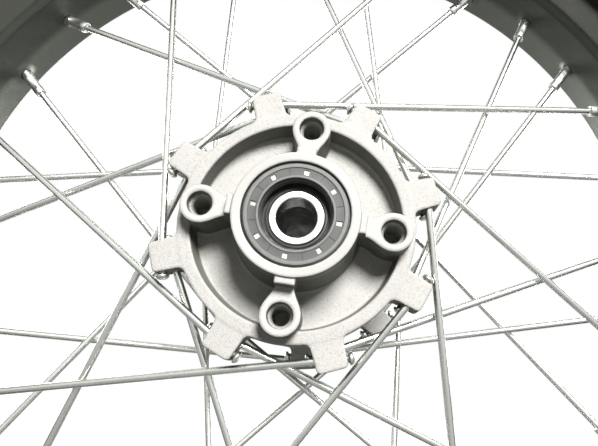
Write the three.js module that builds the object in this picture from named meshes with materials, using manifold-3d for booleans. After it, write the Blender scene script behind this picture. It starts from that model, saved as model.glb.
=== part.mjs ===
// A 14-inch laced front wheel of a small off-road motorcycle, bare: hub, bearings, seals, spokes and rim.
// Units are millimetres. The axle lies along Y, the brake-disc side faces -Y and +Z is up.
// The origin is the wheel's centre: the axle's axis where it crosses the rim's middle plane.
import * as THREE from "three";
import { mergeVertices } from "three/addons/utils/BufferGeometryUtils.js";
import Module from "manifold-3d";

const wasm = await Module();
wasm.setup();

// ---------- driving dimensions ----------
const GAP = 0.3; // between pieces that touch on the real wheel
const FIT = 0.15; // the smaller gap round a turning bearing part
const STEP_EDGE = 0.05; // length given to a square step on a round bar

// Lacing: 32 spokes, 16 to each flange, two in every lug, leaving it in opposite directions
const LUGS = 8;
const HOLE_PITCH = 360 / 32;
const REACH = 7 * HOLE_PITCH; // angle from a lug to the rim hole that its spoke runs to
const HUB_TWIST = -1.8; // the rim holes' turn from their even places, left by the lacing
const WIRE_R = 1.4;
const HEAD_R = 2.5;
const HEAD_LENGTH = 2.2;
const HEAD_CONE = 0.9; // the head's underside, tapering to the wire
const LUG_HOLE_R = 1.75;
const NIPPLE_R = 2.5;
const NIPPLE_VISIBLE = 13.7; // from the rim's bed to the nipple's end
const NIPPLE_CHAMFER = 1;
const NIPPLE_HEAD_R = 3.5;
const NIPPLE_HEAD_LIFT = 1.9; // room that a leaning head needs over the well's floor
const NIPPLE_HEAD_RIM = 1.2; // the head's straight part, below its dome
const NIPPLE_DOME = 1.2;
const NIPPLE_SLOT_R = 1.6; // the flat at the dome's top

// Rim: 2.15 x 14, drop centre
const BED_R = 161; // hub-facing side of the well
const WELL_R = 164;
const BEAD_SEAT_R = 178.4;
const RIM_R = 190.8;
const BED_HALF = 15.5;
const FLANGE_HALF = 27.3; // half the width between the tyre flanges
const FLANGE_WALL = 2.9;
const RIM_HALF = 31.5;
const NIPPLE_HOLE_R = 3.2;
const VALVE_HOLE_R = 4.2;
const VALVE_ANGLE = -90 + HOLE_PITCH / 2;

// Hub, along the axle from the disc side's nose face to the other nose face
const NOSE_Y = -48.5;
const FAR_NOSE_Y = 38.5;
const NOSE_R = 23.3;
const NOSE_ROOT_R = 24.6;
const NOSE_CHAMFER = 0.6;
const FOOT_HEIGHT = 3; // of the slope between the nose and the pocket's floor
const FOOT_WIDTH = 2;
const BARREL_R = 25.5;
const BARREL_FLARE = 3; // where the barrel meets a flange's back
const BARREL_FLARE_LENGTH = 4;
const SEAL_BORE_R = 19.75;
const SEAL_DEPTH = 5.6; // from a nose face to the bearing seat
const BEARING_BORE_R = 17.8;
const SHOULDER_R = 14.5;

// A flange: a ring with a pocket groove and eight spoke lugs
const NEAR_FLANGE = {
  lugFace: -35, lugBack: -25.2, floor: -26.5, back: -23, ringR: 45.2, tipR: 56, phase: 22.5,
};
const FAR_FLANGE = {
  lugFace: 27.8, lugBack: 18, floor: 18.3, back: 14.8, ringR: 43, tipR: 53, phase: 11.25,
};
const LUG_TIP_HALF = 5.75;
const LUG_ROOT_HALF = 6.2;
const LUG_TIP_ROUND = 1.6;
const LUG_ROOT_FILLET = 1.8;
const LUG_CROWN = 0.25; // how far the tip's middle stands proud of its corners
const POCKET_R = 40.4;
const POCKET_FOOT_R = 39.2;

// Disc bosses
const BOSS_COUNT = 4;
const BOSS_PCD_R = 36;
const BOSS_R = 7.4;
const BOSS_FACE_Y = -42.7;
const BOLT_HOLE_R = 3.3;
const BOLT_HOLE_DEPTH = 16;
const COUNTERBORE_R = 4.7;
const COUNTERBORE_DEPTH = 3.2;
const NECK_HALF = 3.35;
const NECK_START_R = NOSE_R - 2; // inside the nose's wall
const NECK_FILLET_R = 4;
const NECK_STEP_R = 25.4; // the neck's raised end block, against the nose
const NECK_STEP_Y = -47.6;

// Bearings, 15 x 35 x 11
const BEARING_WIDTH = 11;
const BEARING_R = 17.5;
const AXLE_R = 7.5;
const INNER_LAND_R = 10.2;
const OUTER_LAND_R = 15;
const BALL_PITCH_R = 12.6;
const BALL_R = 2.9;
const BALLS = 8;
const GROOVE_R = 3.2;
const CAGE_HALF = 2.4;
const SHIELD_THICK = 1;
const SHIELD_INSET = 0.4;
const NEAR_BEARING_Y = -42.5; // its outer face
const FAR_BEARING_Y = 32.5;

// Oil seals, 25 x 39 x 5
const SEAL_R = SEAL_BORE_R - GAP;
const SEAL_LIP_R = 12.4;
const SEAL_RECESS = 0.56;
const SEAL_WIDTH = 4.8;
const SPRING_R = 15.3;
const SPRING_WIRE_R = 0.55;
const SPACER_R = 10;

// Facets round a full turn
const HUB_SIDES = 36;
const RIM_SIDES = 48;
const BEARING_SIDES = 24;
const SPOKE_SIDES = 6;

// ---------- materials ----------
const finish = (color, roughness, metalness) => new THREE.MeshStandardMaterial({ color, roughness, metalness });
const CAST = finish(0xd9d4cc, 0.62, 0.55);
const RIM_PAINT = finish(0x3d3e3b, 0.45, 0.3);
const PLATED = finish(0xb9bbb8, 0.28, 1);
const RACE_STEEL = finish(0xe4e4e2, 0.22, 1);
const RUBBER = finish(0x4a4c4c, 0.6, 0);
const SHIELD_RUBBER = finish(0x1d1f1e, 0.5, 0);
const CAGE_STEEL = finish(0x9b9890, 0.4, 1);
const TUBE_STEEL = finish(0x8d8f8c, 0.5, 1);

// ---------- helpers ----------
const rad = THREE.MathUtils.degToRad;

// A point at radius r and an angle in degrees, seen from the disc side with +X to the right and +Z up.
const polar = (r, degrees, y) => new THREE.Vector3(r * Math.cos(rad(degrees)), y, r * Math.sin(rad(degrees)));

function solidOf(geometry) {
  const bare = geometry.clone();
  bare.deleteAttribute("normal");
  bare.deleteAttribute("uv");
  const merged = mergeVertices(bare, 1e-4);
  const index = merged.index.array;
  const kept = [];
  for (let i = 0; i < index.length; i += 3) {
    const [a, b, c] = [index[i], index[i + 1], index[i + 2]];
    if (a !== b && b !== c && c !== a) kept.push(a, b, c);
  }
  return new wasm.Manifold(
    new wasm.Mesh({ numProp: 3, vertProperties: merged.attributes.position.array, triVerts: new Uint32Array(kept) }),
  );
}

// A closed ring round the axle from [radius, y] corners; the corners may run either way round.
function ring(corners, sides) {
  let area = 0;
  corners.forEach(([r, y], i) => {
    const [r2, y2] = corners[(i + 1) % corners.length];
    area += r * y2 - r2 * y;
  });
  const ordered = area > 0 ? corners : [...corners].reverse();
  const points = [...ordered, ordered[0]].map(([r, y]) => new THREE.Vector2(r, y));
  return solidOf(new THREE.LatheGeometry(points, sides));
}

// A slab from an outline in the wheel's plane (shape x is X, shape y is Z), between two places along the axle.
function slab(shape, yFrom, yTo) {
  const low = Math.min(yFrom, yTo);
  const high = Math.max(yFrom, yTo);
  const geometry = new THREE.ExtrudeGeometry(shape, { depth: high - low, bevelEnabled: false, curveSegments: 5 });
  geometry.rotateX(Math.PI / 2);
  geometry.translate(0, high, 0);
  return solidOf(geometry);
}

// A round bar through stations { at, along, r }: one ring of corners each, square to along, closed by end caps.
function bar(stations, sides) {
  const positions = [];
  const index = [];
  for (const { at, along, r } of stations) {
    const level = new THREE.Vector3().crossVectors(along, new THREE.Vector3(0, 1, 0));
    if (level.lengthSq() < 1e-6) level.set(1, 0, 0);
    level.normalize();
    const up = new THREE.Vector3().crossVectors(level, along).normalize();
    for (let k = 0; k < sides; k += 1) {
      const turn = (2 * Math.PI * k) / sides;
      const corner = at.clone().addScaledVector(level, r * Math.cos(turn)).addScaledVector(up, r * Math.sin(turn));
      positions.push(...corner.toArray());
    }
  }
  const corner = (row, k) => row * sides + (k % sides);
  for (let row = 0; row + 1 < stations.length; row += 1) {
    for (let k = 0; k < sides; k += 1) {
      index.push(corner(row, k), corner(row + 1, k), corner(row, k + 1));
      index.push(corner(row, k + 1), corner(row + 1, k), corner(row + 1, k + 1));
    }
  }
  const last = stations.length - 1;
  for (let k = 1; k + 1 < sides; k += 1) {
    index.push(corner(0, 0), corner(0, k), corner(0, k + 1));
    index.push(corner(last, 0), corner(last, k + 1), corner(last, k));
  }
  const geometry = new THREE.BufferGeometry();
  geometry.setAttribute("position", new THREE.Float32BufferAttribute(positions, 3));
  geometry.setIndex(index);
  return geometry;
}

function rod(radius, from, to, sides) {
  const along = new THREE.Vector3().subVectors(to, from).normalize();
  return solidOf(bar([{ at: from, along, r: radius }, { at: to, along, r: radius }], sides));
}

const joined = (solids) => solids.reduce((whole, piece) => whole.add(piece));
const cut = (solid, tools) => (tools.length ? solid.subtract(joined(tools)) : solid);

function meshOf(name, solid, material) {
  const { vertProperties, triVerts } = solid.getMesh();
  const geometry = new THREE.BufferGeometry();
  geometry.setAttribute("position", new THREE.BufferAttribute(vertProperties, 3));
  geometry.setIndex(new THREE.BufferAttribute(triVerts, 1));
  geometry.computeVertexNormals();
  const mesh = new THREE.Mesh(geometry, material);
  mesh.name = name;
  return mesh;
}

// Replaces each corner [x, y, r] that has a radius by a short arc.
function roundedShape(corners, steps) {
  const points = [];
  corners.forEach(([x, y, r], i) => {
    const here = new THREE.Vector2(x, y);
    if (!r) {
      points.push(here);
      return;
    }
    const before = new THREE.Vector2(...corners.at(i - 1).slice(0, 2)).sub(here).normalize();
    const after = new THREE.Vector2(...corners[(i + 1) % corners.length].slice(0, 2)).sub(here).normalize();
    const half = Math.acos(THREE.MathUtils.clamp(before.dot(after), -1, 1)) / 2;
    const reach = r / Math.tan(half);
    const start = here.clone().addScaledVector(before, reach);
    const end = here.clone().addScaledVector(after, reach);
    for (let k = 0; k <= steps; k += 1) {
      const t = k / steps;
      points.push(
        start.clone().multiplyScalar((1 - t) ** 2).addScaledVector(here, 2 * t * (1 - t)).addScaledVector(end, t * t),
      );
    }
  });
  return new THREE.Shape(points);
}

// ---------- lacing ----------
// Each spoke crosses its lug level with the wheel's plane, then bends towards the rim.
// Keys are side (-1 is the disc side) and turn (+1 runs from +X towards +Z round the wheel).
const LACING = {
  "-1,1": { lugY: -28, rimY: -1.9, holeR: 49.1, foot: 5.3 },
  "-1,-1": { lugY: -32.2, rimY: -5.3, holeR: 51.4, foot: 5.1 },
  "1,1": { lugY: 21, rimY: 1.9, holeR: 46.6, foot: 5.1 },
  "1,-1": { lugY: 25.2, rimY: 5.3, holeR: 48.8, foot: 4.8 },
};
const BEND_AFTER = 1.6; // from the foot point to the bend, at the lug's side
const SEAT_BEFORE = 11.2; // from the foot point back to the head's seat, at the lug's other side

function spokeLine(side, turn, lug) {
  const { lugY, rimY, holeR, foot } = LACING[[side, turn]];
  const lugAngle = (side < 0 ? NEAR_FLANGE : FAR_FLANGE).phase + (lug * 360) / LUGS;
  const footPoint = polar(holeR, lugAngle + turn * foot, lugY);
  const hole = polar(BED_R, lugAngle + turn * REACH + HUB_TWIST, rimY);
  const level = new THREE.Vector3().subVectors(hole, footPoint).setY(0).normalize();
  const seat = footPoint.clone().addScaledVector(level, -SEAT_BEFORE);
  const bend = footPoint.clone().addScaledVector(level, BEND_AFTER);
  const along = new THREE.Vector3().subVectors(hole, bend).normalize();
  return { seat, level, bend, along, hole };
}

const SPOKES = [];
for (const side of [-1, 1]) {
  for (let lug = 0; lug < LUGS; lug += 1) {
    for (const turn of [1, -1]) {
      const sideName = side < 0 ? "disc_side" : "far_side";
      const turnName = turn > 0 ? "a" : "b";
      SPOKES.push({ name: `spoke_${sideName}_${lug + 1}${turnName}`, ...spokeLine(side, turn, lug) });
    }
  }
}

function spoke({ seat, level, bend, along, hole }) {
  const onLug = (distance, r) => ({ at: seat.clone().addScaledVector(level, distance), along: level, r });
  const onRim = (distance, r) => ({ at: hole.clone().addScaledVector(along, distance), along, r });
  const halfway = new THREE.Vector3().addVectors(level, along).normalize();
  const nippleSeat = WELL_R - BED_R + NIPPLE_HEAD_LIFT;
  const stations = [
    onLug(-HEAD_LENGTH, HEAD_R),
    onLug(-HEAD_CONE, HEAD_R),
    onLug(0, WIRE_R),
    { at: bend, along: halfway, r: WIRE_R },
    onRim(-NIPPLE_VISIBLE, WIRE_R),
    onRim(NIPPLE_CHAMFER - NIPPLE_VISIBLE, NIPPLE_R),
    onRim(nippleSeat, NIPPLE_R),
    onRim(nippleSeat + STEP_EDGE, NIPPLE_HEAD_R),
    onRim(nippleSeat + NIPPLE_HEAD_RIM, NIPPLE_HEAD_R),
    onRim(nippleSeat + NIPPLE_HEAD_RIM + NIPPLE_DOME, NIPPLE_SLOT_R),
  ];
  return bar(stations, SPOKE_SIDES);
}

// ---------- hub ----------
function lugOutline({ ringR, tipR, phase }) {
  const corners = [];
  const rootAngle = THREE.MathUtils.radToDeg(Math.asin(LUG_ROOT_HALF / ringR));
  const tipAngle = THREE.MathUtils.radToDeg(Math.asin(LUG_TIP_HALF / tipR));
  const between = 360 / LUGS;
  const put = (r, angle, radius) => {
    const p = polar(r, angle, 0);
    corners.push([p.x, p.z, radius]);
  };
  for (let lug = 0; lug < LUGS; lug += 1) {
    const middle = phase + lug * between;
    put(ringR, middle - rootAngle, LUG_ROOT_FILLET);
    put(tipR, middle - tipAngle, LUG_TIP_ROUND);
    put(tipR + LUG_CROWN, middle, 0);
    put(tipR, middle + tipAngle, LUG_TIP_ROUND);
    put(ringR, middle + rootAngle, LUG_ROOT_FILLET);
    for (const share of [0.35, 0.65]) { // the ring's own edge, up to the next lug
      put(ringR, middle + rootAngle + share * (between - 2 * rootAngle), 0);
    }
  }
  return roundedShape(corners, 1);
}

function flange(at) {
  const outward = Math.sign(at.lugFace);
  const plate = slab(lugOutline(at), at.lugFace, at.lugBack);
  const web = ring(
    [[NOSE_R - 2, at.lugFace], [at.ringR - 1, at.lugFace], [at.ringR - 1, at.back], [NOSE_R - 2, at.back]],
    HUB_SIDES,
  );
  const groove = ring(
    [
      [NOSE_R - 3, at.lugFace + outward],
      [POCKET_R + at.ringR - NEAR_FLANGE.ringR, at.lugFace + outward],
      [POCKET_FOOT_R + at.ringR - NEAR_FLANGE.ringR, at.floor],
      [NOSE_R - 3, at.floor],
    ],
    HUB_SIDES,
  );
  const middle = ring(
    [[0, at.lugFace + outward], [NOSE_R - 1, at.lugFace + outward], [NOSE_R - 1, at.back], [0, at.back]],
    HUB_SIDES,
  );
  return plate.add(web).subtract(groove).subtract(middle);
}

// The boss's round end and its neck towards the nose, joined by fillets; drawn along +X.
function bossOutline() {
  const reach = BOSS_R + NECK_FILLET_R;
  const rise = NECK_HALF + NECK_FILLET_R;
  const filletX = BOSS_PCD_R - Math.sqrt(reach ** 2 - rise ** 2);
  const meet = Math.asin(rise / reach);
  const shape = new THREE.Shape();
  shape.moveTo(NECK_START_R, -NECK_HALF);
  shape.absarc(filletX, -rise, NECK_FILLET_R, Math.PI / 2, meet, true);
  shape.absarc(BOSS_PCD_R, 0, BOSS_R, meet - Math.PI, Math.PI - meet, false);
  shape.absarc(filletX, rise, NECK_FILLET_R, -meet, -Math.PI / 2, true);
  shape.lineTo(NECK_START_R, NECK_HALF);
  return shape;
}

// A block as wide as a neck, drawn along +X from inside the nose's wall.
function neckBlock(toR, yFrom, yTo) {
  const shape = new THREE.Shape();
  shape.moveTo(NECK_START_R, -NECK_HALF);
  shape.lineTo(toR, -NECK_HALF);
  shape.lineTo(toR, NECK_HALF);
  shape.lineTo(NECK_START_R, NECK_HALF);
  return slab(shape, yFrom, yTo);
}

const atEachBoss = (make) => Array.from({ length: BOSS_COUNT }, (_, i) => make((i * 360) / BOSS_COUNT));

function bosses() {
  const boss = slab(bossOutline(), BOSS_FACE_Y, NEAR_FLANGE.back - 1);
  const one = boss.add(neckBlock(NECK_STEP_R, NECK_STEP_Y, BOSS_FACE_Y + 1));
  return atEachBoss((turn) => one.rotate([0, turn, 0]));
}

function boltHoles() {
  return atEachBoss((turn) => {
    const at = (y) => polar(BOSS_PCD_R, turn, y);
    const hole = rod(BOLT_HOLE_R, at(BOSS_FACE_Y - 1), at(BOSS_FACE_Y + BOLT_HOLE_DEPTH), 12);
    const counterbore = rod(COUNTERBORE_R, at(BOSS_FACE_Y - 1), at(BOSS_FACE_Y + COUNTERBORE_DEPTH), 12);
    return hole.add(counterbore);
  });
}

// Plain ribs that stiffen the far flange, where no disc is bolted on.
function farRibs() {
  const one = neckBlock(POCKET_R - 1, FAR_FLANGE.back + 1, FAR_FLANGE.lugFace + 1);
  return atEachBoss((turn) => one.rotate([0, turn, 0]));
}

function hubBody() {
  const seat = BEARING_WIDTH + GAP;
  const sunk = 0.2; // a slope's end lies this deep in the flange it meets
  return ring(
    [
      [SEAL_BORE_R, NOSE_Y],
      [NOSE_R - NOSE_CHAMFER, NOSE_Y],
      [NOSE_R, NOSE_Y + NOSE_CHAMFER],
      [NOSE_ROOT_R, NEAR_FLANGE.floor - FOOT_HEIGHT],
      [NOSE_ROOT_R + FOOT_WIDTH, NEAR_FLANGE.floor + sunk],
      [BARREL_R + BARREL_FLARE, NEAR_FLANGE.back - sunk],
      [BARREL_R, NEAR_FLANGE.back + BARREL_FLARE_LENGTH],
      [BARREL_R, FAR_FLANGE.back - BARREL_FLARE_LENGTH],
      [BARREL_R + BARREL_FLARE, FAR_FLANGE.back + sunk],
      [NOSE_ROOT_R + FOOT_WIDTH, FAR_FLANGE.floor - sunk],
      [NOSE_ROOT_R, FAR_FLANGE.floor + FOOT_HEIGHT],
      [NOSE_R, FAR_NOSE_Y - NOSE_CHAMFER],
      [NOSE_R - NOSE_CHAMFER, FAR_NOSE_Y],
      [SEAL_BORE_R, FAR_NOSE_Y],
      [SEAL_BORE_R, FAR_NOSE_Y - SEAL_DEPTH],
      [BEARING_BORE_R, FAR_NOSE_Y - SEAL_DEPTH],
      [BEARING_BORE_R, FAR_BEARING_Y - seat],
      [SHOULDER_R, FAR_BEARING_Y - seat],
      [SHOULDER_R, NEAR_BEARING_Y + seat],
      [BEARING_BORE_R, NEAR_BEARING_Y + seat],
      [BEARING_BORE_R, NOSE_Y + SEAL_DEPTH],
      [SEAL_BORE_R, NOSE_Y + SEAL_DEPTH],
    ],
    HUB_SIDES,
  );
}

function hubShell() {
  const whole = joined([flange(NEAR_FLANGE), flange(FAR_FLANGE), hubBody(), ...bosses(), ...farRibs()]);
  const lacingHoles = SPOKES.map(({ seat, bend, level }) => {
    const from = seat.clone().addScaledVector(level, -4);
    const to = bend.clone().addScaledVector(level, 4);
    return rod(LUG_HOLE_R, from, to, SPOKE_SIDES);
  });
  return cut(whole, [...boltHoles(), ...lacingHoles]);
}

// ---------- rim ----------
function rim() {
  const half = [
    [BED_R, BED_HALF], // hub-facing side: the bed's edge, its rounding and the shoulder's slope
    [BED_R + 2.4, BED_HALF + 3.4],
    [BEAD_SEAT_R - 4, BED_HALF + 6.4],
    [BEAD_SEAT_R - 2.4, FLANGE_HALF],
    [BEAD_SEAT_R + 1.5, FLANGE_HALF + FLANGE_WALL], // outer side of the flange, up to its curled edge
    [RIM_R - 3, FLANGE_HALF + FLANGE_WALL],
    [RIM_R - 0.8, RIM_HALF],
    [RIM_R, FLANGE_HALF + 1.2],
    [RIM_R - 2.4, FLANGE_HALF], // tyre side: the flange's inner wall, the bead seat and the well
    [BEAD_SEAT_R, FLANGE_HALF],
    [BEAD_SEAT_R - 0.4, BED_HALF + 2.5],
    [WELL_R, BED_HALF - 2.5],
  ];
  const mirrored = half.map(([r, y]) => [r, -y]).reverse();
  const hoop = ring([...half, ...mirrored], RIM_SIDES);
  const nippleHoles = SPOKES.map(({ hole, along }) =>
    rod(NIPPLE_HOLE_R, hole.clone().addScaledVector(along, -4), hole.clone().addScaledVector(along, 8), 6),
  );
  const valveHole = rod(VALVE_HOLE_R, polar(BED_R - 3, VALVE_ANGLE, 0), polar(WELL_R + 3, VALVE_ANGLE, 0), 12);
  return cut(hoop, [...nippleHoles, valveHole]);
}

// ---------- bearings and seals ----------
// face is the bearing's outer face; inward is +1 when the bearing lies on its +Y side and -1 on its -Y side.
function bearing(label, face, inward) {
  const at = (depth) => face + inward * depth;
  const middle = BEARING_WIDTH / 2;
  const grooveHalf = (land, pitch) => Math.sqrt(GROOVE_R ** 2 - (land - pitch) ** 2);
  const outerHalf = grooveHalf(OUTER_LAND_R, BALL_PITCH_R);
  const innerHalf = grooveHalf(INNER_LAND_R, BALL_PITCH_R);
  const race = (landR, backR, grooveR, half) =>
    ring(
      [
        [backR, at(0)],
        [landR, at(0)],
        [landR, at(middle - half)],
        [grooveR, at(middle)],
        [landR, at(middle + half)],
        [landR, at(BEARING_WIDTH)],
        [backR, at(BEARING_WIDTH)],
      ],
      BEARING_SIDES,
    );
  const shield = (depth) =>
    ring(
      [
        [INNER_LAND_R + GAP, at(depth)],
        [OUTER_LAND_R - GAP, at(depth)],
        [OUTER_LAND_R - GAP, at(depth + SHIELD_THICK)],
        [INNER_LAND_R + GAP, at(depth + SHIELD_THICK)],
      ],
      BEARING_SIDES,
    );
  const cage = ring(
    [
      [BALL_PITCH_R - 1, at(middle - CAGE_HALF)],
      [BALL_PITCH_R + 1, at(middle - CAGE_HALF)],
      [BALL_PITCH_R + 1, at(middle + CAGE_HALF)],
      [BALL_PITCH_R - 1, at(middle + CAGE_HALF)],
    ],
    2 * BALLS,
  );
  const balls = Array.from({ length: BALLS }, (_, i) => {
    const ball = new THREE.SphereGeometry(BALL_R, 6, 4);
    const centre = polar(BALL_PITCH_R, (i * 360) / BALLS, at(middle));
    ball.translate(centre.x, centre.y, centre.z);
    return solidOf(ball);
  });
  return [
    meshOf(`${label}_bearing_outer_race`, race(OUTER_LAND_R, BEARING_R, BALL_PITCH_R + GROOVE_R, outerHalf), RACE_STEEL),
    meshOf(`${label}_bearing_inner_race`, race(INNER_LAND_R, AXLE_R, BALL_PITCH_R - GROOVE_R, innerHalf), RACE_STEEL),
    meshOf(`${label}_bearing_ball_cage`, joined([cage, ...balls]), CAGE_STEEL),
    meshOf(`${label}_bearing_outer_shield`, shield(SHIELD_INSET), SHIELD_RUBBER),
    meshOf(`${label}_bearing_inner_shield`, shield(BEARING_WIDTH - SHIELD_INSET - SHIELD_THICK), SHIELD_RUBBER),
  ];
}

function seal(label, noseFace, inward) {
  const at = (depth) => noseFace + inward * (SEAL_RECESS + depth);
  const body = ring(
    [
      [SEAL_R, at(0)], // the outer face
      [SEAL_LIP_R + 1, at(0)],
      [SEAL_LIP_R + 0.7, at(1.4)], // the lip, leaning inwards to its edge
      [SEAL_LIP_R, at(3.1)],
      [SEAL_LIP_R + 0.9, at(3.9)],
      [SEAL_LIP_R + 2, at(1.6)], // the hollow for the garter spring, and the pressed-in wall
      [SEAL_R - 2, at(1.6)],
      [SEAL_R - 2, at(SEAL_WIDTH)],
      [SEAL_R, at(SEAL_WIDTH)],
    ],
    BEARING_SIDES,
  );
  const spring = new THREE.TorusGeometry(SPRING_R, SPRING_WIRE_R, 5, BEARING_SIDES);
  spring.rotateX(Math.PI / 2);
  spring.translate(0, at(3), 0);
  return [
    meshOf(`${label}_oil_seal`, body, RUBBER),
    meshOf(`${label}_seal_garter_spring`, solidOf(spring), PLATED),
  ];
}

function axleSpacer() {
  const from = NEAR_BEARING_Y + BEARING_WIDTH + FIT;
  const to = FAR_BEARING_Y - BEARING_WIDTH - FIT;
  const wall = [[AXLE_R + 0.2, from], [SPACER_R, from], [SPACER_R, to], [AXLE_R + 0.2, to]];
  return meshOf("axle_spacer_tube", ring(wall, BEARING_SIDES), TUBE_STEEL);
}

// ---------- the wheel ----------
const wheel = new THREE.Group();
wheel.add(meshOf("hub_shell", hubShell(), CAST));
wheel.add(meshOf("rim", rim(), RIM_PAINT));
for (const line of SPOKES) wheel.add(meshOf(line.name, solidOf(spoke(line)), PLATED));
wheel.add(...bearing("disc_side", NEAR_BEARING_Y, 1), ...bearing("far_side", FAR_BEARING_Y, -1));
wheel.add(...seal("disc_side", NOSE_Y, 1), ...seal("far_side", FAR_NOSE_Y, -1));
wheel.add(axleSpacer());

export default wheel;
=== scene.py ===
"""The looks of a bare 14-inch laced motorcycle wheel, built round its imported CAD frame.

Lengths in the shape code are in millimetres; meshes are scaled to metres as they are made.
The axle lies along Y with the disc side towards -Y, and +Z is up, as in the CAD model.
"""

import math

import bpy
import numpy as np
import openvdb
from mathutils import Matrix, Vector


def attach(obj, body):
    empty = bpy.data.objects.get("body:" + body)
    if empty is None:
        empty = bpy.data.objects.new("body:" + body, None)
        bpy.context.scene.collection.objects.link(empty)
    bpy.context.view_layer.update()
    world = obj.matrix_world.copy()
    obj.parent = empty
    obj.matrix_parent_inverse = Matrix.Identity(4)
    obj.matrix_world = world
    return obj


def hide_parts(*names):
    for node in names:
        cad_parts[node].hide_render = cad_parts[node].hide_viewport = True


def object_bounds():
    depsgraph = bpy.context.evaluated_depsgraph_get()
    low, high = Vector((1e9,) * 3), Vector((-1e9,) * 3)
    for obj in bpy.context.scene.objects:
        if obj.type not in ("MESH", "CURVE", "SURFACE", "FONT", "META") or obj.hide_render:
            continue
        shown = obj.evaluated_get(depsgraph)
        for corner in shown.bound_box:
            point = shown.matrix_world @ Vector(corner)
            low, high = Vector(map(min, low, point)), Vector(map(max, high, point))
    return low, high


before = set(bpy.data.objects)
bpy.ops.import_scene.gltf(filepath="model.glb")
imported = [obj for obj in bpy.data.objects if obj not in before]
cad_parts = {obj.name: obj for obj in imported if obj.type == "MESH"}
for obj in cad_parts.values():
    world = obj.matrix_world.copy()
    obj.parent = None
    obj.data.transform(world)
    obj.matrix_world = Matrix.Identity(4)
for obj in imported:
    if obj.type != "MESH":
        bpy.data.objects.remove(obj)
cad_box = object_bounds()

MM = 0.001
TURN = 2 * math.pi
SIDES = ((-1, "disc"), (1, "far"))  # the way along Y, and the side's name

# ---------- sizes shared with the CAD model, in millimetres ----------
LUGS = 8
HOLE_PITCH = 360 / 32
REACH = 7 * HOLE_PITCH  # degrees from a lug's middle to the rim hole of each of its spokes
HUB_TWIST = -1.8  # the rim holes' turn against the hub, in degrees
WIRE_R = 1.4
NIPPLE_VISIBLE = 13.7
BED_R = 161.0
WELL_R = 164.0
BEAD_SEAT_R = 178.4
RIM_R = 190.8
BED_HALF = 15.5
BED_RIDGE = 1.1  # the bed's middle stands this much nearer the hub than its edges
FLANGE_HALF = 27.3
RIM_HALF = 31.5
NIPPLE_HOLE_R, VALVE_HOLE_R = 2.75, 4.2
VALVE_ANGLE = -90 + HOLE_PITCH / 2
NOSE_Y, FAR_NOSE_Y = -48.5, 38.5
NOSE_R, NOSE_ROOT_R, BARREL_R = 23.3, 24.6, 25.5
SEAL_BORE_R, SEAL_DEPTH = 19.75, 5.6
SEAL_R, LIP_R, SEAL_SUNK = 19.45, 12.4, 0.56
SEAL_WINDOWS, FIRST_WINDOW, FIRST_NOTCH = 8, 39.9, 17.4  # how many, and the first ones' angles in degrees
BEARING_BORE_R, SHOULDER_R = 17.8, 14.5
BEARING_WIDTH, BEARING_R, AXLE_R = 11.0, 17.5, 7.5
INNER_LAND_R, OUTER_LAND_R = 10.2, 15.0
BALL_PITCH_R, BALL_R, BALLS = 12.6, 2.9, 8
GROOVE_R, SHIELD_DEPTH = 3.2, 0.4
SPACER_BORE_R, SPACER_R = 7.7, 10.0
NEAR_BEARING_Y, FAR_BEARING_Y = -42.5, 32.5
NEAR_FLANGE = dict(side=-1, face=35.0, lug_back=25.2, floor=26.5, back=23.0, ring=45.2, tip=56.0, phase=22.5)
FAR_FLANGE = dict(side=1, face=27.8, lug_back=18.0, floor=18.3, back=14.8, ring=43.0, tip=53.0, phase=11.25)
LACING = {
    (-1, 1): dict(lug_y=-28.0, rim_y=-1.9, hole_r=49.1, foot=5.3),
    (-1, -1): dict(lug_y=-32.2, rim_y=-5.3, hole_r=51.4, foot=5.1),
    (1, 1): dict(lug_y=21.0, rim_y=1.9, hole_r=46.6, foot=5.1),
    (1, -1): dict(lug_y=25.2, rim_y=5.3, hole_r=48.8, foot=4.8),
}
BEND_AFTER, SEAT_BEFORE = 1.6, 11.2
BOSSES, BOSS_PITCH_R, BOSS_R = 4, 36, 7.4
BOSS_FACE, BOSS_BACK = 42.7, 24.5


# ---------- camera, light and floor ----------
CAMERA_AT = (15.7, -229.2, -53.8)
# degrees: turn, tilt up, and turn about its own axis
CAMERA_YAW, CAMERA_PITCH, CAMERA_ROLL = -0.64, 15.44, 8.64
LENS, SENSOR, SHIFT = 32.05, 36, (-0.056, 0.0095)
STUDIO_TURN = 8.92  # the lamps' upright, in degrees from +Z towards -X
# for gloss: the way to the middle of the white panel, the cosines where it starts and is full, and its light
PANEL_TOWARDS, PANEL_EDGE, PANEL_LIGHT = (0.0, -0.83, 0.56), (-0.62, 0.12), (0.36, 0.90)
ROOM_LIGHT = 0.006


def camera():
    data = bpy.data.cameras.new("camera")
    data.lens, data.sensor_width = LENS, SENSOR
    data.shift_x, data.shift_y = SHIFT
    data.clip_start = 0.005
    cam = bpy.data.objects.new("camera", data)
    bpy.context.scene.collection.objects.link(cam)
    aim = (Matrix.Rotation(math.radians(-CAMERA_YAW), 4, "Z")
           @ Matrix.Rotation(math.radians(90 + CAMERA_PITCH), 4, "X")
           @ Matrix.Rotation(math.radians(CAMERA_ROLL), 4, "Z"))
    cam.matrix_world = Matrix.Translation(Vector(CAMERA_AT) * MM) @ aim
    bpy.context.scene.camera = cam


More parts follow.
